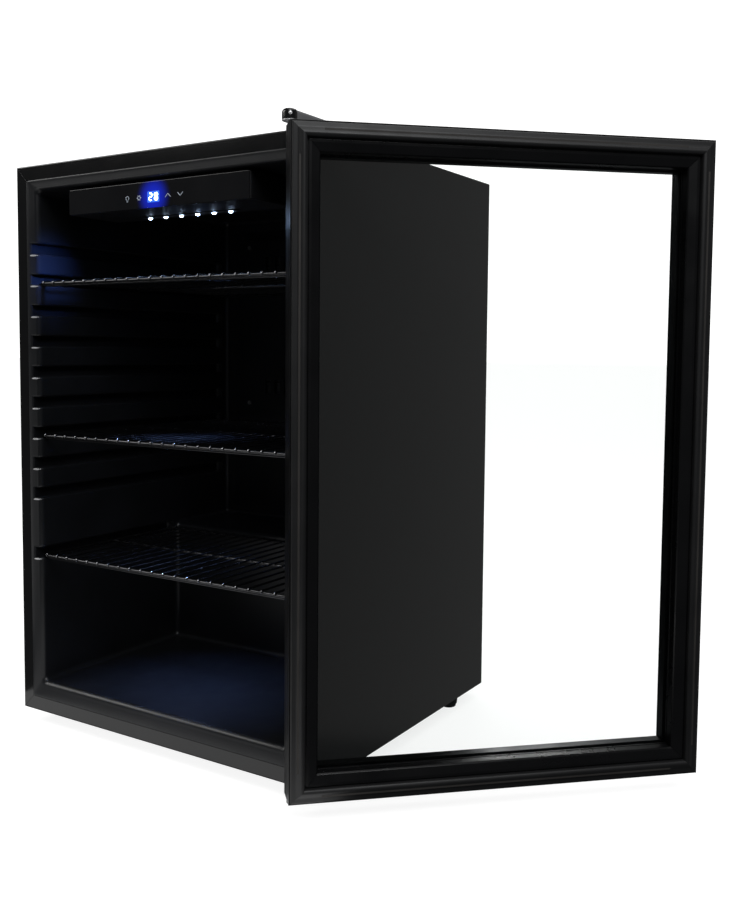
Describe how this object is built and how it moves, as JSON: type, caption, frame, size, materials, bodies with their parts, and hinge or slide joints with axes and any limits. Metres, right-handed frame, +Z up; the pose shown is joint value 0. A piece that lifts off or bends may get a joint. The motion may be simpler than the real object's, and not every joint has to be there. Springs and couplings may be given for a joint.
{
  "type": "glass door merchandiser",
  "caption": "Compact refrigerated display cabinet with a full height glazed door on pin hinges, wire shelves on moulded slots and a compressor bay behind a raised step.",
  "frame": {"origin": "on the floor under the middle of the cabinet body, half way between its sides and half way between its front flange and its back", "axes": "+X to the right as seen by a person facing the open front, towards the hinge side; +Y from the front to the back; +Z up"},
  "size_m": [0.9311, 0.5555, 0.857],
  "materials": {
    "painted_steel": "smooth black enamel on folded sheet",
    "galvanised_steel": "bare galvanised sheet",
    "liner_plastic": "fine grained black moulding",
    "frame_plastic": "black extrusion, satin",
    "bead_plastic": "black extrusion, satin",
    "gasket_rubber": "soft magnetic door seal",
    "cap_plastic": "moulded cap",
    "white_bush": "acetal bush and washer",
    "magnet_strip": "flexible magnet",
    "pane_glass": "clear tempered pane",
    "spacer_aluminium": "mill finish spacer",
    "evaporator_aluminium": "roll bond plate",
    "shelf_chrome": "bright plated wire",
    "screw_steel": "zinc plated screws",
    "pin_steel": "ground pin",
    "fascia_gloss": "glossy touch panel",
    "display_lens": "lit blue display",
    "icon_ink": "printed touch marks",
    "board_green": "circuit board",
    "led_white": "cold white lamp",
    "led_carrier": "lamp strip",
    "compressor_black": "dull black shell",
    "relay_plastic": "terminal box",
    "copper_pipe": "copper tube",
    "coil_steel": "black enamel tube",
    "foam": "rigid polyurethane foam",
    "foot_rubber": "moulded foot",
    "drain_plastic": "plain tube"
  },
  "bodies": {
    "cabinet": {"side_panel_left": "painted_steel", "side_panel_right": "painted_steel", "top_panel": "painted_steel", "bottom_panel": "painted_steel", "back_panel": "painted_steel", "rear_cover": "painted_steel", "bottom_hinge_plate": "painted_steel", "bay_plate": "galvanised_steel", "base_plate": "galvanised_steel", "top_hinge_plate": "galvanised_steel", "insulation_foam": "foam", "liner_wall_left": "liner_plastic", "liner_wall_right": "liner_plastic", "liner_ceiling": "liner_plastic", "liner_floor": "liner_plastic", "liner_back": "liner_plastic", "liner_step": "liner_plastic", "evaporator_cover": "liner_plastic", "temperature_sensor": "liner_plastic", "control_housing": "liner_plastic", "drip_pan": "liner_plastic", "evaporator_plate": "evaporator_aluminium", "control_fascia": "fascia_gloss", "control_display": "display_lens", "touch_icons": "icon_ink", "control_board": "board_green", "led_strip": "led_carrier", "led_lamps": "led_white", "compressor": "compressor_black", "compressor_relay": "relay_plastic", "compressor_grommets": "gasket_rubber", "cord_gland": "gasket_rubber", "compressor_bolts": "screw_steel", "cover_screws": "screw_steel", "hinge_screws": "screw_steel", "condenser_coil": "coil_steel", "refrigerant_pipes": "copper_pipe", "drain_tube": "drain_plastic", "top_hinge_cover": "cap_plastic", "hinge_pins": "pin_steel", "hinge_washers": "white_bush"},
    "door": {"door_rail_hinge": "frame_plastic", "door_rail_free": "frame_plastic", "door_rail_top": "frame_plastic", "door_rail_bottom": "frame_plastic", "door_corner_keys": "relay_plastic", "glazing_beads": "bead_plastic", "glass_outer": "pane_glass", "glass_inner": "pane_glass", "glass_spacer": "spacer_aluminium", "door_gasket": "gasket_rubber", "gasket_magnets": "magnet_strip", "door_bushes": "white_bush"},
    "upper_shelf": {"shelf_upper": "shelf_chrome"},
    "middle_shelf": {"shelf_middle": "shelf_chrome"},
    "lower_shelf": {"shelf_lower": "shelf_chrome"},
    "front_left_foot": {"foot_front_left": "foot_rubber"},
    "front_right_foot": {"foot_front_right": "foot_rubber"},
    "rear_left_foot": {"foot_rear_left": "foot_rubber"},
    "rear_right_foot": {"foot_rear_right": "foot_rubber"}
  },
  "joints": [
    {"name": "door_hinge", "type": "hinge", "parent": "cabinet", "child": "door", "pos_m": [0.262, -0.2792, 0.43], "axis": [0, 0, 1], "range_deg": [-224, 0]},
    {"name": "upper_shelf_slide", "type": "slide", "parent": "cabinet", "child": "upper_shelf", "axis": [0, -1, 0], "range_m": [0, 0.36]},
    {"name": "middle_shelf_slide", "type": "slide", "parent": "cabinet", "child": "middle_shelf", "axis": [0, -1, 0], "range_m": [0, 0.36]},
    {"name": "lower_shelf_slide", "type": "slide", "parent": "cabinet", "child": "lower_shelf", "axis": [0, -1, 0], "range_m": [0, 0.36]},
    {"name": "front_left_foot_turn", "type": "hinge", "parent": "cabinet", "child": "front_left_foot", "pos_m": [-0.245, -0.188, 0.02], "axis": [0, 0, 1], "continuous": true},
    {"name": "front_right_foot_turn", "type": "hinge", "parent": "cabinet", "child": "front_right_foot", "pos_m": [0.245, -0.188, 0.02], "axis": [0, 0, 1], "continuous": true},
    {"name": "rear_left_foot_turn", "type": "hinge", "parent": "cabinet", "child": "rear_left_foot", "pos_m": [-0.245, 0.177, 0.02], "axis": [0, 0, 1], "continuous": true},
    {"name": "rear_right_foot_turn", "type": "hinge", "parent": "cabinet", "child": "rear_right_foot", "pos_m": [0.245, 0.177, 0.02], "axis": [0, 0, 1], "continuous": true}
  ]
}
